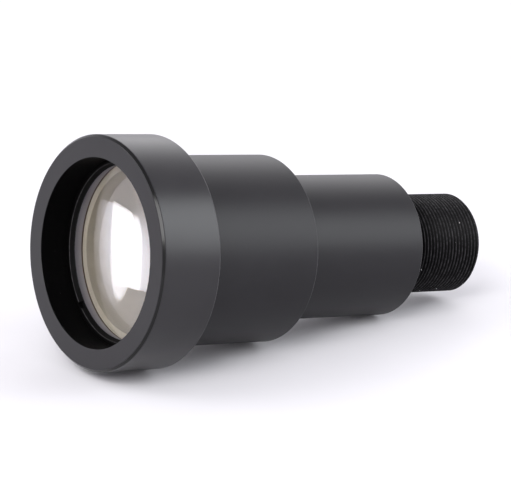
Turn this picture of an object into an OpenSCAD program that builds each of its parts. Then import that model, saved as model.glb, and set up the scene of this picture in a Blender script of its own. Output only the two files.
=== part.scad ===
// A fixed-focus board lens: a stepped barrel with a fine rear thread and a front ring.
// The optical axis lies along Y. The front faces -Y, and the thread leaves towards +Y.
// The origin is the centre of the rear shoulder, where the thread begins.
// Places along the axis are depths behind the front face. Millimetres.

/* [Front ring] */
// Outer diameter of the front ring, which the pieces inside it follow
ring_d = 26.7; // [24:0.1:31]
// Thickness of the front ring over the barrel's nose
ring_wall = 2.4; // [1.8:0.1:2.8]
// Length of the front ring
ring_len = 7.8; // [6:0.1:14]
// Width of the ledge in the ring that the nose stops against
hood_ledge = 0.2; // [0.1:0.01:0.3]
// Depth of the open bore in front of the ledge
hood_depth = 3.6; // [2.6:0.1:4.5]
// Chamfer on the ring's front outer edge
ring_front_chamfer = 0.3; // [0.1:0.05:0.8]
// Chamfer on the ring's rear outer edge
ring_rear_chamfer = 0.15; // [0.05:0.05:0.6]
// Chamfer on the bore's front edge
hood_chamfer = 0.05; // [0.03:0.01:0.3]

/* [Barrel] */
// Wall of the nose over the front retaining ring
nose_wall = 0.47; // [0.3:0.01:1.5]
// Length of the middle section behind the ring
mid_len = 15.75; // [13:0.05:24]
// Step in from the middle section down to the rear section
rear_step = 2.45; // [1.8:0.05:2.8]
// Length of the rear section
rear_len = 17.95; // [14:0.05:28]
// Wall of the rear section around its air chamber
rear_wall = 1.3; // [0.7:0.05:2]
// Major diameter of the mounting thread
thread_d = 12; // [10:0.1:14.5]
// Length of the mounting thread
thread_len = 11.5; // [8:0.1:15]
// Pitch of the mounting thread, whose turns are drawn as rings
thread_pitch = 0.5; // [0.35:0.05:0.8]
// Depth of the mounting thread
thread_depth = 0.3; // [0.15:0.01:0.4]
// Width of the thread's flat crests
thread_crest = 0.14; // [0.05:0.01:0.2]
// Chamfer on the thread's free end
thread_chamfer = 0.4; // [0.1:0.05:0.7]
// Wall of the thread section around the rear retaining ring
thread_wall = 0.87; // [0.5:0.01:1.2]
// Edge break on the rear rims of the middle and rear sections
rim_break = 0.15; // [0.05:0.05:0.4]
// Length of metal between the middle section's rear face and the stop's seat
stop_seat_wall = 1.8; // [1:0.1:3]
// Spacing of the light-trap grooves in the chamber
groove_pitch = 0.8; // [0.6:0.1:1.6]
// Depth of the light-trap grooves
groove_depth = 0.3; // [0.1:0.05:0.5]
// Thickness of the web in front of the rear elements
web_t = 1; // [0.5:0.1:2]
// Width of the web's lip in front of the rear elements
web_lip = 0.78; // [0.4:0.01:1.2]

/* [Front elements] */
// How far the front element stands out of the nose on the axis
glass_proud = 0.35; // [0.2:0.05:0.8]
// Radius of the front surface
front_surface_r = 52; // [42:0.5:70]
// Centre thickness of the crown element
crown_t = 3.6; // [3.2:0.05:5]
// Radius of the cemented surface
cement_r = 40; // [34:0.5:60]
// Centre thickness of the flint element
flint_t = 1.9; // [1.5:0.1:2.6]
// Radius of the doublet's rear surface
doublet_rear_r = 95; // [75:1:200]
// Air space between the doublet and the meniscus on the axis
front_air = 4.85; // [4.2:0.05:5.5]
// Radius of the meniscus's front surface
meniscus_front_r = 38.9; // [32:0.1:50]
// Radius of the meniscus's rear surface
meniscus_rear_r = 80; // [60:1:140]
// Centre thickness of the meniscus
meniscus_t = 2.8; // [2.2:0.1:3.4]

/* [Rear elements] */
// Step from the rear retaining ring's thread in to the rear elements' seat
rear_seat_step = 0.25; // [0.1:0.01:0.4]
// Depth of the rear element's highest point inside the thread's end
rear_inset = 2.3; // [1.8:0.1:3]
// Centre thickness of the rear positive element
rear_positive_t = 2.8; // [2.2:0.1:3.4]
// Radius of its front surface
rear_positive_front_r = 17; // [14:0.5:30]
// Radius of its rear surface
rear_positive_rear_r = 60; // [40:1:120]
// Air space between the rear elements on the axis
rear_air = 10.15; // [8:0.05:11]
// Centre thickness of the rear negative element
rear_negative_t = 1.6; // [1.2:0.1:2.2]
// Radius of its hollow front surface
rear_negative_front_r = 16; // [13:0.5:30]

/* [Rings] */
// Wall of the front retaining ring around the glass
front_retainer_wall = 0.37; // [0.25:0.01:0.6]
// How far its lip reaches in over the rim of the glass
front_lip = 0.075; // [0.05:0.005:0.4]
// Width of the slope on the lip, measured across the ring
front_lip_slope = 0.28; // [0.1:0.01:0.35]
// Length of the front retaining ring
front_retainer_len = 1.6; // [1.2:0.1:2.2]
// Room for the nose's thread to run out behind it
front_runout = 1; // [0.4:0.1:1.6]
// Wall of the ring between the doublet and the meniscus
front_spacer_wall = 0.85; // [0.5:0.05:1.4]
// Wall of the tapered ring at its front
taper_front_wall = 1.15; // [0.8:0.05:1.6]
// How far the tapered ring reaches inside the air chamber's wall at its rear
taper_rear_lip = 0.1; // [0:0.05:0.4]
// How far the fixed stop reaches inside the air chamber's wall
stop_lip = 0.8; // [0.2:0.05:3]
// Thickness of the fixed stop
stop_t = 0.4; // [0.2:0.05:0.8]
// Wall of the tube between the rear elements
rear_spacer_wall = 0.75; // [0.4:0.05:1.2]
// How far the rear retaining ring's lip reaches in over the glass
rear_lip = 0.65; // [0.3:0.05:1]
// Length of the rear retaining ring
rear_retainer_len = 1.2; // [0.8:0.1:1.6]
// Room for the rear thread to run out in front of it
rear_runout = 0.5; // [0.2:0.1:1]
// Width of the spanner slots
slot_w = 0.9; // [0.5:0.1:1.4]
// Depth of the spanner slots
slot_depth = 0.5; // [0.3:0.05:0.7]
// Turn of the front spanner slots about the axis
front_slot_turn = 131; // [0:1:180]

/* [Fits] */
// Clearance on the radius between pieces that slide together
slip = 0.03; // [0.02:0.01:0.05]
// Gap between faces that bear on each other
seat_gap = 0.02; // [0.01:0.01:0.05]

/* [Hidden] */
round_steps = 144;
arc_step = 0.5;
min_arc_steps = 96;
cut_over = 1;
slot_count = 2;

// Radii, from the ring and from the thread inwards to the glass.
ring_r = ring_d / 2;
mid_r = ring_r - ring_wall;
socket_r = mid_r + slip;
hood_r = mid_r - hood_ledge;
nose_thread_r = mid_r - nose_wall;
front_retainer_r = nose_thread_r - slip;
front_seat_r = front_retainer_r - front_retainer_wall;
front_glass_r = front_seat_r - slip;
front_lip_r = front_glass_r - front_lip;
front_spacer_bore_r = front_glass_r - front_spacer_wall;
rear_r = mid_r - rear_step;
chamber_r = rear_r - rear_wall;
thread_r = thread_d / 2;
rear_thread_r = thread_r - thread_wall;
rear_retainer_r = rear_thread_r - slip;
rear_seat_r = rear_thread_r - rear_seat_step;
rear_glass_r = rear_seat_r - slip;
rear_spacer_bore_r = rear_glass_r - rear_spacer_wall;
rear_lip_r = rear_glass_r - rear_lip;

// Depths of the outer steps.
shoulder_depth = ring_len + mid_len;
flange_depth = shoulder_depth + rear_len;
end_depth = flange_depth + thread_len;

// Depths of the front group, from the nose backwards.
crown_depth = hood_depth - glass_proud;
crown_rim_depth = crown_depth + sag(front_surface_r, front_glass_r);
flint_depth = crown_depth + crown_t + seat_gap;
doublet_rear_depth = flint_depth + flint_t;
meniscus_depth = doublet_rear_depth + front_air;
meniscus_rear_depth = meniscus_depth + meniscus_t;
front_lip_depth = crown_depth + sag(front_surface_r, front_lip_r) - seat_gap;
front_retainer_end = hood_depth + front_retainer_len;
nose_thread_end = front_retainer_end + front_runout;
front_spacer_start = doublet_rear_depth + sag(-doublet_rear_r, front_spacer_bore_r) + seat_gap;
front_spacer_end = meniscus_depth + sag(meniscus_front_r, front_spacer_bore_r) - seat_gap;
taper_start = meniscus_rear_depth + sag(meniscus_rear_r, front_glass_r) + seat_gap;
stop_seat = shoulder_depth - stop_seat_wall;
stop_depth = stop_seat - stop_t - seat_gap;
taper_end = stop_depth - seat_gap;

// Depths of the rear group, from the thread's end forwards.
rear_positive_rear_depth = end_depth - rear_inset;
rear_positive_depth = rear_positive_rear_depth - rear_positive_t;
rear_negative_rear_depth = rear_positive_depth - rear_air;
rear_negative_depth = rear_negative_rear_depth - rear_negative_t;
rear_spacer_start = rear_negative_rear_depth + seat_gap;
rear_spacer_end = rear_positive_depth + sag(rear_positive_front_r, rear_spacer_bore_r) - seat_gap;
rear_retainer_start = rear_positive_rear_depth + sag(-rear_positive_rear_r, rear_lip_r) + seat_gap;
rear_retainer_face = rear_retainer_start + rear_retainer_len;
rear_thread_start = rear_retainer_start - rear_runout;
web_rear = rear_negative_depth + sag(-rear_negative_front_r, rear_glass_r) - seat_gap;
web_front = web_rear - web_t;
thread_turns = floor((thread_len - thread_chamfer - thread_crest) / thread_pitch);
groove_count = floor((web_front - stop_seat) / groove_pitch) - 1;
$fn = round_steps;

// How far a surface of radius r lies behind its vertex at a height from the axis.
// A positive r bulges to the front, a negative r to the rear, and 0 is flat.
function sag(r, height) = r == 0 ? 0 : r - sign(r) * sqrt(r * r - height * height);

function arc_steps(r) = max(min_arc_steps, ceil(2 * PI * abs(r) / arc_step));

// Turns a piece made along Z, with its depth as Z, into the lens's own frame.
module on_axis() {
    translate([0, -flange_depth, 0]) rotate([-90, 0, 0]) children();
}

module turned(profile) {
    on_axis() rotate_extrude() polygon(profile);
}

// A plain ring or tube between two depths.
module tube(outer_r, inner_r, start, end) {
    turned([[inner_r, start], [outer_r, start], [outer_r, end], [inner_r, end]]);
}

// The disc of a spherical surface: filled on the side of its centre.
module ball_section(vertex, r) {
    translate([0, vertex + r]) circle(r = abs(r), $fn = arc_steps(r));
}

// A lens element. Signed surface radii: positive ones have their centre behind the surface.
module element(rim_r, depth, t, front_r, rear_r) {
    start = depth + min(0, sag(front_r, rim_r));
    end = depth + t + max(0, sag(rear_r, rim_r));
    on_axis() rotate_extrude() difference() {
        intersection() {
            translate([0, start]) square([rim_r, end - start]);
            if (front_r > 0) ball_section(depth, front_r);
            if (rear_r < 0) ball_section(depth + t, rear_r);
        }
        if (front_r < 0) ball_section(depth, front_r);
        if (rear_r > 0) ball_section(depth + t, rear_r);
    }
}

// Slots for a pin spanner, cut into the face of a retaining ring.
module spanner_slots(outer_r, face, turn) {
    on_axis() for (i = [0 : slot_count - 1])
        rotate(turn + i * 360 / slot_count)
            translate([0, -slot_w / 2, face - slot_depth])
                cube([outer_r + cut_over, slot_w, 2 * slot_depth]);
}

module front_ring() {
    color("#3a393b") turned([
        [hood_r + hood_chamfer, 0],
        [ring_r - ring_front_chamfer, 0],
        [ring_r, ring_front_chamfer],
        [ring_r, ring_len - ring_rear_chamfer],
        [ring_r - ring_rear_chamfer, ring_len],
        [socket_r, ring_len],
        [socket_r, hood_depth],
        [hood_r, hood_depth],
        [hood_r, hood_chamfer]
    ]);
}

// The light-trap grooves in the chamber's wall, as points of the bore's profile.
function groove_points() = [
    for (i = [groove_count : -1 : 1]) let (at = stop_seat + i * groove_pitch)
        each [
            [chamber_r, at + groove_depth],
            [chamber_r + groove_depth, at],
            [chamber_r, at]
        ]
];

// The grooves between the thread's crests, as points of the barrel's outer profile.
function thread_points() = [
    for (i = [0 : thread_turns - 1]) let (at = flange_depth + thread_crest + i * thread_pitch)
        each [
            [thread_r, at],
            [thread_r - thread_depth, at + (thread_pitch - thread_crest) / 2],
            [thread_r, at + thread_pitch - thread_crest]
        ]
];

module main_barrel() {
    nose = hood_depth + seat_gap;
    color("#333236") turned(concat([
        [nose_thread_r, nose],
        [mid_r, nose],
        [mid_r, shoulder_depth - rim_break],
        [mid_r - rim_break, shoulder_depth],
        [rear_r, shoulder_depth],
        [rear_r, flange_depth - rim_break],
        [rear_r - rim_break, flange_depth],
        [thread_r, flange_depth]
    ], thread_points(), [
        [thread_r, end_depth - thread_chamfer],
        [thread_r - thread_chamfer, end_depth],
        [rear_thread_r, end_depth],
        [rear_thread_r, rear_thread_start],
        [rear_seat_r, rear_thread_start],
        [rear_seat_r, web_rear],
        [rear_seat_r - web_lip, web_rear],
        [rear_seat_r - web_lip, web_front],
        [chamber_r, web_front]
    ], groove_points(), [
        [chamber_r, stop_seat],
        [front_seat_r, stop_seat],
        [front_seat_r, nose_thread_end],
        [nose_thread_r, nose_thread_end]
    ]));
}

// The skirt reaches past the rim of the glass, and the lip bears on the glass.
module front_retaining_ring() {
    color("#1d1c1e") difference() {
        turned([
            [front_lip_r + front_lip_slope, hood_depth],
            [front_retainer_r, hood_depth],
            [front_retainer_r, front_retainer_end],
            [front_seat_r, front_retainer_end],
            [front_seat_r, crown_rim_depth - seat_gap],
            [front_lip_r, front_lip_depth]
        ]);
        spanner_slots(front_retainer_r, hood_depth, front_slot_turn);
    }
}

module crown_lens() {
    color("#a6a49b", 0.35)
        element(front_glass_r, crown_depth, crown_t, front_surface_r, -cement_r);
}

module flint_lens() {
    color("#a3a09a", 0.35)
        element(front_glass_r, flint_depth, flint_t, -cement_r, -doublet_rear_r);
}

module front_spacer_ring() {
    color("#ded4c1")
        tube(front_glass_r, front_spacer_bore_r, front_spacer_start, front_spacer_end);
}

module meniscus_lens() {
    color("#a9a7a0", 0.35)
        element(front_glass_r, meniscus_depth, meniscus_t, meniscus_front_r, meniscus_rear_r);
}

module tapered_baffle_ring() {
    color("#ded4c1") turned([
        [front_glass_r - taper_front_wall, taper_start],
        [front_glass_r, taper_start],
        [front_glass_r, taper_end],
        [chamber_r - taper_rear_lip, taper_end]
    ]);
}

module aperture_stop() {
    color("#151416") tube(front_glass_r, chamber_r - stop_lip, stop_depth, stop_depth + stop_t);
}

module rear_negative_lens() {
    color("#a9a7a0", 0.35)
        element(rear_glass_r, rear_negative_depth, rear_negative_t, -rear_negative_front_r, 0);
}

module rear_spacer_tube() {
    color("#232225") tube(rear_glass_r, rear_spacer_bore_r, rear_spacer_start, rear_spacer_end);
}

module rear_positive_lens() {
    color("#a6a49b", 0.35)
        element(rear_glass_r, rear_positive_depth, rear_positive_t,
            rear_positive_front_r, -rear_positive_rear_r);
}

module rear_retaining_ring() {
    color("#1d1c1e") difference() {
        tube(rear_retainer_r, rear_lip_r, rear_retainer_start, rear_retainer_face);
        spanner_slots(rear_retainer_r, rear_retainer_face, 0);
    }
}

front_ring();
main_barrel();
front_retaining_ring();
crown_lens();
flint_lens();
front_spacer_ring();
meniscus_lens();
tapered_baffle_ring();
aperture_stop();
rear_negative_lens();
rear_spacer_tube();
rear_positive_lens();
rear_retaining_ring();
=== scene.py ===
import math

import bmesh
import bpy
from mathutils import Matrix, Vector


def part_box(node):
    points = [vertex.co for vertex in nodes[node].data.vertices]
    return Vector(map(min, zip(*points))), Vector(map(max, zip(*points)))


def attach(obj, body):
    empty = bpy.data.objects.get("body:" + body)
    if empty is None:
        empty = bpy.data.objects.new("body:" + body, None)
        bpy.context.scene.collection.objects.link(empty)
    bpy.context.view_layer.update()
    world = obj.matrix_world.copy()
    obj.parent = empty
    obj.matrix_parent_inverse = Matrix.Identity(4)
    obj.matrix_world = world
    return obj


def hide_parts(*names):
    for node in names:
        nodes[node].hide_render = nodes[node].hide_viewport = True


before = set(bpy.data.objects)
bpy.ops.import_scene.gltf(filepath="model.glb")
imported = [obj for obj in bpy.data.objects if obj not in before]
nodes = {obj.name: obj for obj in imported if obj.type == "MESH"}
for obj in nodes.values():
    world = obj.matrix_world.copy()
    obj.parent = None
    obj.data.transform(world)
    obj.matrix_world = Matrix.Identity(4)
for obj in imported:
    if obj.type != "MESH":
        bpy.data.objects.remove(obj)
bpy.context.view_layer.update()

# Sizes in metres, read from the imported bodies. The optical axis lies along Y.
MM = 0.001


def reach(node):
    """The greatest radius about the axis and the Y span of a node."""
    low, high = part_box(node)
    return high[0], low[1], high[1]


RING_R, FRONT_Y, RING_REAR_Y = reach("front_ring")
BARREL_R, NOSE_Y, END_Y = reach("main_barrel")
THREAD_R = 6.0 * MM
REAR_R = 8.5 * MM
BORE_R = 10.75 * MM
SHOULDER_Y = 0.0
STEP_Y = -17.95 * MM

# The M12x0.5 thread, drawn inside the outer radius of the solid's.
PITCH = 0.5 * MM
THREAD_DEPTH = 0.3 * MM
THREAD_CHAMFER = 0.4 * MM
THREAD_FORM = (
    (0.00, 0.00), (0.11, 0.00), (0.15, 0.10), (0.41, 0.92),
    (0.46, 1.00), (0.66, 1.00), (0.71, 0.92), (0.96, 0.10),
)

# The photograph's camera, in pixels and degrees.
IMAGE_W = 511
SENSOR_W = 36.0
FOCAL_PX = 2790.0
FRONT_CENTRE_PX = (-161.6, 4.37)
FRONT_DISTANCE = 312.3 * MM
AXIS_TURN = math.radians(52.28)
AXIS_RISE = math.radians(1.46)

# The camera's near and far clipping, in metres.
CLIP_NEAR, CLIP_FAR = 0.01, 10

# The lens lies on the rear edges of its ring and of its rear section.
RIM_BREAK = 0.15 * MM
TILT = math.atan2(RING_R - REAR_R, SHOULDER_Y - RING_REAR_Y)
UP = Vector((0, -math.sin(TILT), math.cos(TILT)))
CONTACT = Vector((0, SHOULDER_Y - RIM_BREAK, -REAR_R))

# Turned pieces: faces around, rings of faces on a lens, and when points count as one.
SEGMENTS = 192
LENS_RINGS = 28
SNAP = 1e-6
WELD = 1e-8

# Rounded corners: their sizes, the longest share of a side, and the angle that counts as straight.
BARREL_ROUND = 0.03 * MM
RING_ROUND = 0.05 * MM
ROUND_SHARE = 0.2
STRAIGHT = math.radians(165)

# How near a band of faces lies to an outer surface, or to the bore, to have its finish.
REAR_SKIN = 0.4 * MM
BARREL_SKIN = 0.3 * MM
STEP_SKIN = 0.2 * MM
NOSE_SKIN = 0.1 * MM
CHAMFER_SKIN = 0.27 * MM
BORE_SKIN = 0.02 * MM
SEAT_SKIN = 0.5 * MM

# The barrel's end face starts at this radius, and its shoulder runs in under the thread's roots.
END_FACE_R = 5.2 * MM
ROOT_TUCK = 0.04 * MM

# What the lamps are aimed at: the middle of the lens, and the front glass.
MIDDLE = Vector((0, (FRONT_Y + END_Y) / 2, 0))
GLASS_MIDDLE = Vector((0, FRONT_Y + 3 * MM, 0))

# The surroundings' level, and the floor's half width in metres.
WORLD_LEVEL = 1.08
FLOOR_REACH = 0.4

# The sheet glows from here to here, in millimetres from the lens, up to this strength.
GLOW_START, GLOW_END = 120.0, 360.0
GLOW_LEVEL = 0.2

# A turning tool's feed in millimetres, and the tint of the glass.
TOOL_LINE = 0.12
GLASS_BODY = (0.992, 0.993, 0.985, 1)

# The colour sockets of a mix node.
MIX_A, MIX_B, MIX_RESULT = 6, 7, 2

# Lamps: name, degrees from the camera towards picture right and up from the floor, distance and
# size in metres, radiance and colour. A panel ends with the share of its half width not faded.
WHITE = (1.0, 1.0, 1.0)
SOFTBOXES = (
    ("right_softbox", 85, 24, 0.45, (0.22, 0.33), 4.5, (0.96, 1.0, 1.02)),
    ("key_softbox", -20, 34, 0.5, (0.26, 0.24), 8.2, WHITE),
    ("left_softbox", -85, 40, 0.5, (0.30, 0.20), 3.0, WHITE),
    ("rear_softbox", 163, 27, 0.6, (0.44, 0.30), 1.25, WHITE),
)
PANELS = (
    ("left_panel", -99.2, -8, 0.052, (0.0134, 0.0290), 5.5, WHITE, 0.85),
    ("left_panel_rim", -95.5, -8, 0.054, (0.0245, 0.0385), 4.5, (0.88, 0.90, 1.0), 0.3),
    ("left_panel_glow", -90, -7, 0.056, (0.0370, 0.0400), 0.7, WHITE, 0.2),
)


def camera_axes():
    """A matrix with the camera's right, down and forward in the lens's frame as its columns."""
    axis = Vector((
        math.sin(AXIS_TURN) * math.cos(AXIS_RISE),
        -math.sin(AXIS_RISE),
        math.cos(AXIS_TURN) * math.cos(AXIS_RISE),
    ))
    lean = math.atan2(axis.y * -1, axis.z)
    above = lean + math.asin(math.sin(TILT) / math.hypot(axis.y, axis.z))
    up = Vector((0, -math.cos(above), -math.sin(above)))
    z_row = (up + math.sin(TILT) * axis) / math.cos(TILT)
    x_row = axis.cross(z_row)
    return Matrix((x_row, axis, z_row))


def add_camera():
    """The photograph's camera, set by where it sees the middle of the front face."""
    turn = camera_axes()
    front_centre = Vector((
        FRONT_CENTRE_PX[0] / FOCAL_PX * FRONT_DISTANCE,
        FRONT_CENTRE_PX[1] / FOCAL_PX * FRONT_DISTANCE,
        FRONT_DISTANCE,
    ))
    place = Vector((0, FRONT_Y, 0)) - turn @ front_centre
    look = turn @ Matrix.Diagonal((1, -1, -1))
    camera = bpy.data.objects.new("camera", bpy.data.cameras.new("camera"))
    camera.data.sensor_width = SENSOR_W
    camera.data.lens = FOCAL_PX / IMAGE_W * SENSOR_W
    camera.data.clip_start = CLIP_NEAR
    camera.data.clip_end = CLIP_FAR
    camera.matrix_world = Matrix.Translation(place) @ look.to_4x4()
    bpy.context.scene.collection.objects.link(camera)
    bpy.context.scene.camera = camera
    return camera


class Graph:
    """Adds and links shader nodes in one tree."""

    def __init__(self, tree):
        self.tree = tree

    def add(self, kind, settings=None, **inputs):
        made = self.tree.nodes.new(kind)
        for name, value in (settings or {}).items():
            setattr(made, name, value)
        for name, value in inputs.items():
            by_place = name[0] == "i" and name[1:].isdigit()
            self.feed(made.inputs[int(name[1:]) if by_place else name], value)
        return made

    def feed(self, socket, value):
        if isinstance(value, bpy.types.NodeSocket):
            self.tree.links.new(value, socket)
        else:
            socket.default_value = value

    def math(self, operation, a, b=0.0):
        return self.add("ShaderNodeMath", {"operation": operation}, i0=a, i1=b).outputs[0]

    def span(self, value, low, high, to_low=0.0, to_high=1.0):
        """Value mapped smoothly from low..high to to_low..to_high."""
        made = self.add("ShaderNodeMapRange", {"interpolation_type": "SMOOTHSTEP"}, Value=value)
        made.inputs["From Min"].default_value = low
        made.inputs["From Max"].default_value = high
        made.inputs["To Min"].default_value = to_low
        made.inputs["To Max"].default_value = to_high
        return made.outputs["Result"]

    def blend(self, share, a, b):
        made = self.add("ShaderNodeMix", {"data_type": "RGBA"})
        self.feed(made.inputs["Factor"], share)
        self.feed(made.inputs[MIX_A], a)
        self.feed(made.inputs[MIX_B], b)
        return made.outputs[MIX_RESULT]

    def noise(self, vector, scale, detail=2.0, rough=0.5):
        made = self.add("ShaderNodeTexNoise", Vector=vector, Scale=scale, Detail=detail)
        made.inputs["Roughness"].default_value = rough
        return made.outputs["Fac"]

    def bump(self, shader, height, strength, depth):
        """Gives a shader fine relief, with its depth in millimetres."""
        made = self.add("ShaderNodeBump", Height=height)
        made.inputs["Strength"].default_value = strength
        made.inputs["Distance"].default_value = depth * MM
        self.feed(shader.inputs["Normal"], made.outputs[0])


def start_material(name):
    """A material, its graph, its shader and the place on the object in millimetres."""
    material = bpy.data.materials.new(name)
    material.use_nodes = True
    graph = Graph(material.node_tree)
    shader = material.node_tree.nodes["Principled BSDF"]
    where = graph.add("ShaderNodeTexCoord").outputs["Object"]
    place = graph.add("ShaderNodeVectorMath", {"operation": "SCALE"}, i0=where)
    place.inputs["Scale"].default_value = 1 / MM
    return material, graph, shader, place.outputs["Vector"]


def radius_and_y(graph, place):
    """The distance from the axis and the place along it."""
    parts = graph.add("ShaderNodeSeparateXYZ", i0=place)
    square = graph.math(
        "ADD",
        graph.math("MULTIPLY", parts.outputs[0], parts.outputs[0]),
        graph.math("MULTIPLY", parts.outputs[2], parts.outputs[2]),
    )
    return graph.math("SQRT", square), parts.outputs[1]


def edge_share(graph, place, edges, width):
    """1 on turned edges given as (radius, y) in millimetres, falling to 0 a width away."""
    radius, y = radius_and_y(graph, place)
    nearest = None
    for edge_r, edge_y in edges:
        across = graph.math("SUBTRACT", radius, edge_r)
        along = graph.math("SUBTRACT", y, edge_y)
        away = graph.math("SQRT", graph.math(
            "ADD", graph.math("MULTIPLY", across, across), graph.math("MULTIPLY", along, along)
        ))
        nearest = away if nearest is None else graph.math("MINIMUM", nearest, away)
    return graph.span(nearest, 0.0, width, 1.0, 0.0)


def specks(graph, place, spacing, size, share):
    """Sparse tiny spots, used as dust and as painted glints."""
    cells = graph.add("ShaderNodeTexVoronoi", {"feature": "F1"}, Vector=place, Scale=1 / spacing)
    chosen = graph.add("ShaderNodeSeparateColor", i0=cells.outputs["Color"])
    near = graph.span(cells.outputs["Distance"], size * 0.6 / spacing, size / spacing, 1.0, 0.0)
    return graph.math("MULTIPLY", near, graph.math("LESS_THAN", chosen.outputs[0], share))


def anodised(name, dark, pale, gloss, edges, edge_width=0.16, edge_tone=0.30, level=0.5, dust=0.25):
    """Black anodised metal: even satin, with paler edges that are partly rubbed metal and partly a
    painted highlight, faint clouding and a few specks.
    """
    material, graph, shader, place = start_material(name)
    cloud = graph.noise(place, 0.22, 3.0)
    grain = graph.noise(place, 9.0, 3.0, 0.6)
    fine = graph.noise(place, 30.0, 2.0, 0.7)
    tone = graph.blend(graph.span(cloud, 0.3, 0.7), (*dark, 1), (*pale, 1))
    scuffs = graph.span(graph.noise(place, 1.6, 4.0, 0.65), 0.42, 0.66)
    # Paler edges: partly rubbed metal, partly a painted highlight on the rims.
    edge = edge_share(graph, place, edges, edge_width) if edges else 0.0
    worn_and_lit = graph.math("ADD", 0.45, graph.math("MULTIPLY", scuffs, 0.55))
    worn_and_lit = graph.math("MULTIPLY", edge, worn_and_lit)
    edge_colour = (edge_tone, edge_tone * 0.98, edge_tone * 1.02, 1)
    tone = graph.blend(graph.math("MULTIPLY", worn_and_lit, 0.55), tone, edge_colour)
    spots = specks(graph, place, 2.3, 0.055, dust)
    tone = graph.blend(graph.math("MULTIPLY", spots, 0.8), tone, (0.42, 0.41, 0.42, 1))
    graph.feed(shader.inputs["Base Color"], tone)
    rough = graph.math("ADD", gloss - 0.04, graph.math("MULTIPLY", grain, 0.05))
    rough = graph.math("ADD", rough, graph.math("MULTIPLY", cloud, 0.04))
    rough = graph.math("SUBTRACT", rough, graph.math("MULTIPLY", worn_and_lit, 0.10))
    graph.feed(shader.inputs["Roughness"], rough)
    shader.inputs["Specular IOR Level"].default_value = level
    height = graph.math("MULTIPLY", grain, 0.6)
    height = graph.math("ADD", height, graph.math("MULTIPLY", fine, 0.4))
    graph.bump(shader, height, 0.35, 0.006)
    return material


def thread_with_painted_light(name):
    """The blackened thread: painted shade in the grooves, a painted highlight on the thin crests,
    paler patches along them that are partly rubbed metal and partly painted highlight, and a few
    painted glints.
    """
    material, graph, shader, place = start_material(name)
    radius = radius_and_y(graph, place)[0]
    crest = graph.span(radius, THREAD_R / MM - 0.13, THREAD_R / MM - 0.02)
    wear_and_sheen = graph.span(graph.noise(place, 2.2, 4.0, 0.7), 0.38, 0.72)
    # Painted shade in the grooves and a painted highlight on the crests.
    tone = graph.blend(crest, (0.0006, 0.0005, 0.0008, 1), (0.004, 0.0036, 0.0045, 1))
    # Paler patches along the crests: partly rubbed metal, partly painted highlight.
    worn_and_lit = graph.math("MULTIPLY", crest, graph.math("MULTIPLY", wear_and_sheen, 0.5))
    tone = graph.blend(worn_and_lit, tone, (0.07, 0.068, 0.072, 1))
    # Bright dots on the crests are painted glints.
    painted_glints = graph.math("MULTIPLY", crest, specks(graph, place, 0.8, 0.10, 0.15))
    tone = graph.blend(painted_glints, tone, (0.75, 0.74, 0.75, 1))
    graph.feed(shader.inputs["Base Color"], tone)
    grain = graph.noise(place, 12.0, 3.0, 0.6)
    graph.feed(shader.inputs["Roughness"], graph.span(grain, 0.2, 0.8, 0.34, 0.46))
    shader.inputs["Specular IOR Level"].default_value = 0.13
    graph.bump(shader, grain, 0.4, 0.006)
    return material


def matt_black(name, tone=0.006, gloss=0.62, level=0.3):
    """Blackened metal or paint inside the barrel, with a fine dull grain."""
    material, graph, shader, place = start_material(name)
    grain = graph.noise(place, 7.0, 4.0, 0.65)
    dark = (tone, tone * 0.96, tone, 1)
    pale = (tone * 1.7, tone * 1.6, tone * 1.7, 1)
    colour = graph.blend(graph.span(grain, 0.3, 0.7), dark, pale)
    spots = specks(graph, place, 1.7, 0.04, 0.18)
    colour = graph.blend(graph.math("MULTIPLY", spots, 0.5), colour, (0.22, 0.21, 0.22, 1))
    graph.feed(shader.inputs["Base Color"], colour)
    graph.feed(shader.inputs["Roughness"], graph.span(grain, 0.2, 0.8, gloss - 0.06, gloss + 0.06))
    shader.inputs["Specular IOR Level"].default_value = level
    graph.bump(shader, grain, 0.5, 0.01)
    return material


def pale_metal(name, pale, dull):
    """Turned metal with a pale satin finish, fine tool lines around the axis and a little tarnish."""
    material, graph, shader, place = start_material(name)
    radius, y = radius_and_y(graph, place)
    along = graph.math("MULTIPLY", graph.math("ADD", y, radius), math.tau / TOOL_LINE)
    lines = graph.math("SINE", along)
    stain = graph.noise(place, 0.5, 4.0, 0.6)
    tone = graph.blend(graph.span(stain, 0.3, 0.7), (*pale, 1), (*dull, 1))
    graph.feed(shader.inputs["Base Color"], tone)
    graph.feed(shader.inputs["Roughness"], graph.span(stain, 0.3, 0.75, 0.42, 0.56))
    graph.bump(shader, lines, 0.12, 0.004)
    return material


def ground_glass_edge(name):
    """The unpolished rim of a glass element: dull violet-grey, darker in front, brown at its seam."""
    material, graph, shader, place = start_material(name)
    grain = graph.noise(place, 5.0, 4.0, 0.6)
    y = radius_and_y(graph, place)[1]
    back = graph.span(y, FRONT_Y / MM + 4.2, FRONT_Y / MM + 7.5)
    mottle = graph.span(grain, 0.3, 0.7)
    near = graph.blend(mottle, (0.27, 0.25, 0.285, 1), (0.33, 0.305, 0.345, 1))
    far = graph.blend(mottle, (0.48, 0.45, 0.47, 1), (0.58, 0.545, 0.56, 1))
    seam = graph.span(y, FRONT_Y / MM + 7.65, FRONT_Y / MM + 7.9)
    rim_tone = graph.blend(seam, graph.blend(back, near, far), (0.16, 0.10, 0.06, 1))
    graph.feed(shader.inputs["Base Color"], rim_tone)
    graph.feed(shader.inputs["Roughness"], graph.span(grain, 0.3, 0.7, 0.5, 0.7))
    return material


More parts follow.
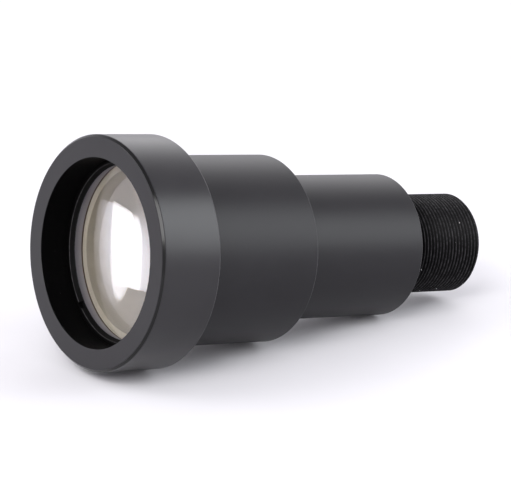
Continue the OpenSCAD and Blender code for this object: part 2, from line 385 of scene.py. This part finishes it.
def optical_glass(name, index, tint):
    """Polished coated glass, with the faintest film of dust in its roughness."""
    material, graph, shader, place = start_material(name)
    film = graph.noise(place, 0.6, 4.0, 0.6)
    graph.feed(shader.inputs["Roughness"], graph.span(film, 0.35, 0.8, 0.0, 0.02))
    shader.inputs["Base Color"].default_value = GLASS_BODY
    shader.inputs["Transmission Weight"].default_value = 1.0
    shader.inputs["IOR"].default_value = index
    shader.inputs["Specular Tint"].default_value = (*tint, 1)
    return material


def meridian(node):
    """The closed outline of a turned node, as (radius, y) points in order."""
    mesh = nodes[node].data
    spot = {}
    for vertex in mesh.vertices:
        if abs(vertex.co.z) < SNAP and vertex.co.x > -SNAP:
            spot[vertex.index] = (round(vertex.co.x, 7), round(vertex.co.y, 7))
    links = {}
    for edge in mesh.edges:
        a, b = (spot.get(i) for i in edge.vertices)
        if a and b and a != b:
            links.setdefault(a, set()).add(b)
            links.setdefault(b, set()).add(a)
    # A flat face may have no edge along this line, so its two ends, at one y, are joined.
    loose = {}
    for point, near in links.items():
        if len(near) == 1:
            loose.setdefault(round(point[1], 6), []).append(point)
    for pair in loose.values():
        links[pair[0]].add(pair[1])
        links[pair[1]].add(pair[0])
    path = [max(links)]
    before = None
    while True:
        following = [p for p in links[path[-1]] if p != before and p not in path[1:]]
        following = [p for p in following if p != path[0] or len(path) > 2]
        if not following or following[0] == path[0]:
            return path
        before = path[-1]
        path.append(sorted(following)[0])


def soften(path, size, closed=True):
    """Rounds the corners of an outline, with points beside each round to hold the flats flat."""
    made = []
    count = len(path)
    for i, corner in enumerate(path):
        if not closed and i in (0, count - 1):
            made.append(Vector(corner))
            continue
        here = Vector(corner)
        back = Vector(path[i - 1]) - here
        on = Vector(path[(i + 1) % count]) - here
        if back.angle(on) > STRAIGHT:
            made.append(here)
            continue
        near = min(size, back.length * ROUND_SHARE, on.length * ROUND_SHARE)
        back.normalize()
        on.normalize()
        start, end = here + back * near, here + on * near
        made += [
            here + back * near * 2, start, start * 0.25 + here * 0.5 + end * 0.25,
            end, here + on * near * 2,
        ]
    return made


def finish_mesh(name, builder, materials, sharp=None):
    """A mesh object from a bmesh, with outward normals and smooth shading."""
    bmesh.ops.remove_doubles(builder, verts=builder.verts, dist=WELD)
    bmesh.ops.dissolve_degenerate(builder, edges=builder.edges, dist=WELD)
    bmesh.ops.recalc_face_normals(builder, faces=builder.faces)
    mesh = bpy.data.meshes.new(name)
    builder.to_mesh(mesh)
    builder.free()
    mesh.polygons.foreach_set("use_smooth", [True] * len(mesh.polygons))
    if sharp:
        mesh.set_sharp_from_angle(angle=math.radians(sharp))
    for material in materials:
        mesh.materials.append(material)
    made = bpy.data.objects.new(name, mesh)
    bpy.context.scene.collection.objects.link(made)
    return made


def add_lathe(builder, path, index_of, closed=True):
    """Turns (radius, y) points about the axis. index_of gives each band's material index."""
    turns = [math.tau * j / SEGMENTS for j in range(SEGMENTS)]
    rows = []
    for radius, y in path:
        if radius < SNAP:
            rows.append([builder.verts.new((0, y, 0))] * SEGMENTS)
            continue
        rows.append([
            builder.verts.new((radius * math.cos(turn), y, radius * math.sin(turn)))
            for turn in turns
        ])
    bands = len(rows) if closed else len(rows) - 1
    for i in range(bands):
        first, second = rows[i], rows[(i + 1) % len(rows)]
        for j in range(SEGMENTS):
            k = (j + 1) % SEGMENTS
            corners = []
            for vertex in (first[j], first[k], second[k], second[j]):
                if vertex not in corners:
                    corners.append(vertex)
            if len(corners) > 2:
                builder.faces.new(corners).material_index = index_of(i)


def thread_radius(turned, y):
    """The radius of the thread's form at a share of a pitch, cut back by the end's chamfer."""
    share = turned % 1.0
    form = list(THREAD_FORM) + [(1.0, 0.0)]
    depth = 0.0
    for (a, depth_a), (b, depth_b) in zip(form, form[1:]):
        if a <= share <= b:
            depth = depth_a + (depth_b - depth_a) * (share - a) / (b - a)
            break
    full = THREAD_R - depth * THREAD_DEPTH
    return min(full, THREAD_R - THREAD_CHAMFER + (END_Y - y))


def add_thread(builder):
    """A right-hand single-start thread from the shoulder to the end, as sheared rows of the form."""
    per_turn = len(THREAD_FORM)
    turns = math.ceil((END_Y - SHOULDER_Y) / PITCH)
    rows = (turns + 2) * per_turn
    columns = []
    for j in range(SEGMENTS + 1):
        angle = math.tau * j / SEGMENTS
        column = []
        for m in range(rows):
            share = m // per_turn - 1 + THREAD_FORM[m % per_turn][0]
            y = SHOULDER_Y + PITCH * (share + 1 - j / SEGMENTS)
            y = min(max(y, SHOULDER_Y), END_Y)
            radius = thread_radius((y - SHOULDER_Y) / PITCH + j / SEGMENTS, y)
            column.append(builder.verts.new((radius * math.cos(angle), y, radius * math.sin(angle))))
        columns.append(column)
    for j in range(SEGMENTS):
        for m in range(rows - 1):
            builder.faces.new((
                columns[j][m], columns[j + 1][m], columns[j + 1][m + 1], columns[j][m + 1]
            ))


def make_barrel(materials):
    """The turned barrel on its packed outline, with rounded corners and a helical thread.

    Its materials are the outside's, the bore's and the thread's.
    """
    path = meridian("main_barrel")
    on_thread = [
        r > THREAD_R - THREAD_CHAMFER - SNAP and r < THREAD_R + SNAP and y > SHOULDER_Y - SNAP
        for r, y in path
    ]
    first = next(i for i in range(len(path)) if on_thread[i] and not on_thread[i - 1])
    path = path[first:] + path[:first]
    on_thread = on_thread[first:] + on_thread[:first]
    kept = [p for p, skip in zip(path, on_thread) if not skip]
    if abs(kept[0][1] - END_Y) > SNAP:
        kept.reverse()
    root = THREAD_R - THREAD_DEPTH - ROOT_TUCK
    outline = [(THREAD_R - THREAD_CHAMFER, END_Y)] + kept + [(root, SHOULDER_Y)]
    rounded = soften(outline, BARREL_ROUND, closed=False)

    def index_of(i):
        r, y = (rounded[i] + rounded[i + 1]) / 2
        if r > REAR_R - REAR_SKIN or y > SHOULDER_Y - SNAP and r > END_FACE_R:
            far_out = r > BARREL_R - BARREL_SKIN or y > STEP_Y - STEP_SKIN
            return 0 if y > NOSE_Y + NOSE_SKIN and far_out else 1
        return 0 if abs(y - SHOULDER_Y) < 2 * SNAP or abs(y - END_Y) < 2 * SNAP else 1

    builder = bmesh.new()
    add_lathe(builder, rounded, index_of, closed=False)
    turned = len(builder.faces)
    add_thread(builder)
    builder.faces.ensure_lookup_table()
    for face in builder.faces[turned:]:
        face.material_index = 2
    return finish_mesh("barrel_with_thread", builder, materials)


def make_ring(materials):
    """The front ring on its packed outline, with rounded corners and a matt black bore darkened
    further by painted shade.

    Its materials are the outside's, the bore's and the front chamfer's.
    """
    rounded = soften(meridian("front_ring"), RING_ROUND)

    def index_of(i):
        r, y = (rounded[i] + rounded[(i + 1) % len(rounded)]) / 2
        if r > RING_R - CHAMFER_SKIN and y < FRONT_Y + CHAMFER_SKIN:
            return 2
        inside = r < BORE_R + BORE_SKIN or r < BORE_R + SEAT_SKIN and y > FRONT_Y + MM
        return 1 if inside else 0

    builder = bmesh.new()
    add_lathe(builder, rounded, index_of)
    return finish_mesh("ring_with_shaded_bore", builder, materials)


def sag(radius, r):
    """How far a spherical surface has fallen back from its vertex at a distance from the axis."""
    if not radius:
        return 0.0
    return radius - math.copysign(math.sqrt(radius * radius - r * r), radius)


def make_lens(name, materials, rim_r, front, front_radius, rear, rear_radius):
    """A polished element with a ground rim, from its rim, its vertices' depths and its radii."""
    heights = [rim_r * i / LENS_RINGS for i in range(LENS_RINGS + 1)]
    path = [(r * MM, FRONT_Y + (front + sag(front_radius, r)) * MM) for r in heights]
    heights.reverse()
    path += [(r * MM, FRONT_Y + (rear + sag(rear_radius, r)) * MM) for r in heights]
    builder = bmesh.new()
    add_lathe(builder, path, lambda i: 1 if i == LENS_RINGS else 0, closed=False)
    return finish_mesh(name, builder, materials, sharp=50)


def around(camera):
    """The directions along the floor towards the camera and towards picture right."""
    toward = camera.location - MIDDLE
    toward -= toward.dot(UP) * UP
    toward.normalize()
    return toward, UP.cross(toward)


def direction(camera, turn, rise):
    """A direction from the lens: degrees from the camera towards picture right, and up."""
    toward, right = around(camera)
    turn, rise = math.radians(turn), math.radians(rise)
    level = toward * math.cos(turn) + right * math.sin(turn)
    return level * math.cos(rise) + UP * math.sin(rise)


def aim(made, place, at):
    """Places an object with its local -Z towards a point, kept upright on the floor."""
    back = (place - at).normalized()
    side = UP.cross(back).normalized()
    top = back.cross(side)
    turn = Matrix((side, top, back)).transposed()
    made.matrix_world = Matrix.Translation(place) @ turn.to_4x4()


def softbox(camera, target, name, turn, rise, distance, size, radiance, colour):
    """A rectangular area light of a given radiance, aimed at a target and hidden from the camera."""
    lamp = bpy.data.lights.new(name, "AREA")
    lamp.shape = "RECTANGLE"
    lamp.size, lamp.size_y = size
    lamp.energy = radiance * math.pi * size[0] * size[1]
    lamp.color = colour
    made = bpy.data.objects.new(name, lamp)
    made.visible_camera = False
    bpy.context.scene.collection.objects.link(made)
    aim(made, target + direction(camera, turn, rise) * distance, target)
    return made


def glass_panel(camera, target, *settings, start):
    """An elliptical light that fades from a share of its half width out to its edge.

    Its energy is that of a rectangle of its size, over the ellipse's smaller area.
    """
    made = softbox(camera, target, *settings)
    made.data.shape = "ELLIPSE"
    made.data.use_nodes = True
    graph = Graph(made.data.node_tree)
    where = graph.add("ShaderNodeNewGeometry").outputs["Parametric"]
    away = graph.add("ShaderNodeVectorMath", {"operation": "DISTANCE"}, i0=where)
    away.inputs[1].default_value = (0.5, 0.5, 0)
    emission = made.data.node_tree.nodes["Emission"]
    level = graph.span(away.outputs["Value"], start * 0.5, 0.5, 1.0, 0.0)
    graph.feed(emission.inputs["Strength"], level)
    return made


def add_world():
    """White surroundings, dimmer overhead than near the horizon."""
    world = bpy.data.worlds.new("surroundings")
    world.use_nodes = True
    graph = Graph(world.node_tree)
    sky = world.node_tree.nodes["Background"]
    where = graph.add("ShaderNodeTexCoord").outputs["Generated"]
    height = graph.add("ShaderNodeVectorMath", {"operation": "DOT_PRODUCT"}, i0=where)
    height.inputs[1].default_value = UP
    fade = graph.span(height.outputs["Value"], 0.42, 0.85)
    graph.feed(sky.inputs["Color"], graph.blend(fade, (0.99, 0.97, 1.03, 1), (0.62, 0.61, 0.65, 1)))
    sky.inputs["Strength"].default_value = WORLD_LEVEL
    bpy.context.scene.world = world


def add_floor():
    """A matt white sheet under the lens, which glows a little far out to meet the surroundings."""
    material, graph, shader, place = start_material("white_sheet")
    mottle = graph.noise(place, 0.05, 3.0)
    share = graph.span(mottle, 0.3, 0.7)
    tone = graph.blend(share, (0.745, 0.735, 0.755, 1), (0.765, 0.755, 0.775, 1))
    graph.feed(shader.inputs["Base Color"], tone)
    shader.inputs["Roughness"].default_value = 0.7
    shader.inputs["Specular IOR Level"].default_value = 0.2
    away = graph.add("ShaderNodeVectorMath", {"operation": "LENGTH"}, i0=place)
    glow = graph.span(away.outputs["Value"], GLOW_START, GLOW_END, 0.0, GLOW_LEVEL)
    graph.feed(shader.inputs["Emission Strength"], glow)
    shader.inputs["Emission Color"].default_value = (1, 1, 1, 1)
    builder = bmesh.new()
    toward, right = around(camera)
    builder.faces.new([
        builder.verts.new(CONTACT + toward * near * FLOOR_REACH + right * across * FLOOR_REACH)
        for near, across in ((-1, -1), (1, -1), (1, 1), (-1, 1))
    ])
    floor = finish_mesh("floor", builder, [material])


bpy.context.scene.view_settings.view_transform = "Standard"
camera = add_camera()
add_world()
add_floor()
for settings in SOFTBOXES:
    softbox(camera, MIDDLE, *settings)
left_panels = [
    glass_panel(camera, GLASS_MIDDLE, *settings, start=start)
    for *settings, start in PANELS
]

# The edges painted pale, partly as rubbed metal and partly as a painted highlight on the rims, as
# (radius, y) in millimetres.
ring_edges = [
    (RING_R / MM - 0.1, RING_REAR_Y / MM - 0.1),
]
holder_edges = [
    (10.26, FRONT_Y / MM + 3.6),
    (9.99, FRONT_Y / MM + 4.17),
]
barrel_edges = [
    (BARREL_R / MM - 0.1, STEP_Y / MM - 0.1),
    (REAR_R / MM - 0.1, SHOULDER_Y / MM - 0.1),
    ((THREAD_R - THREAD_CHAMFER) / MM, END_Y / MM),
]
ring_finish = anodised(
    "ring_satin_black", (0.0058, 0.0050, 0.0068), (0.0075, 0.0068, 0.0086), 0.32, ring_edges,
    level=0.42
)
barrel_finish = anodised(
    "barrel_satin_black", (0.0032, 0.0026, 0.0042), (0.0046, 0.0040, 0.0057), 0.42, barrel_edges,
    level=0.30
)
inside_finish = matt_black("inner_matt_black")
# Matt black for the bores, made darker still: the extra darkness is painted shade in the recesses.
bore_black_and_shade = matt_black("bore_black_and_painted_shade", tone=0.0009, gloss=0.55, level=0.04)
thread_finish = thread_with_painted_light("thread_black")
# The retaining rings' pale lip lines are painted highlights, and their dense bright specks are dust
# and painted glints both.
holder_finish = anodised(
    "holder_black", (0.0020, 0.0018, 0.0018), (0.0040, 0.0036, 0.0035), 0.45, holder_edges,
    edge_width=0.07, edge_tone=0.14, level=0.07, dust=0.9
)
chamfer_finish = anodised(
    "smooth_black_chamfer", (0.002, 0.002, 0.002), (0.003, 0.003, 0.003), 0.16, [], level=0.25
)
ground_rim = ground_glass_edge("ground_glass_rim")
bare_rings = pale_metal("pale_turned_aluminium", (0.77, 0.695, 0.575), (0.71, 0.64, 0.525))
front_glass = optical_glass("front_coated_glass", 1.62, (0.98, 0.94, 1.0))
inner_glass = optical_glass("inner_coated_glass", 1.64, (1.0, 0.93, 0.78))


def dress(node, material):
    """Gives a carried-over node its finish."""
    for entry in nodes[node].material_slots:
        entry.material = material


dress("front_retaining_ring", holder_finish)
for name in ("front_spacer_ring", "tapered_baffle_ring"):
    dress(name, bare_rings)
for name in ("aperture_stop", "rear_spacer_tube"):
    dress(name, inside_finish)
dress("rear_retaining_ring", holder_finish)

ring = make_ring([ring_finish, bore_black_and_shade, chamfer_finish])
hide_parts("front_ring")
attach(ring, "root")
barrel = make_barrel([barrel_finish, bore_black_and_shade, thread_finish])
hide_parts("main_barrel")
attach(barrel, "root")

# Name, glass, rim radius, the front vertex's depth behind the front face and its radius, the rear
# vertex's, all in millimetres, and the solids it stands for.
LENSES = (
    ("cemented_doublet", front_glass, 10.05, 3.25, 52.0, 8.77, -95.0, ("crown_lens", "flint_lens")),
    ("polished_meniscus", inner_glass, 10.05, 13.62, 38.9, 16.42, 80.0, ("meniscus_lens",)),
    ("polished_rear_negative", inner_glass, 4.85, 36.15, -16.0, 37.75, 0.0, ("rear_negative_lens",)),
    ("polished_rear_positive", inner_glass, 4.85, 47.9, 17.0, 50.7, -60.0, ("rear_positive_lens",)),
)
lit_glass = bpy.data.collections.new("lit_by_left_panel")
for name, glass, *form, stood_for in LENSES:
    element = make_lens(name, [glass, ground_rim], *form)
    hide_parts(*stood_for)
    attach(element, "root")
    lit_glass.objects.link(element)

# The low panels at picture left stand for the window that only the polished glass mirrors.
for lamp in left_panels:
    lamp.light_linking.receiver_collection = lit_glass
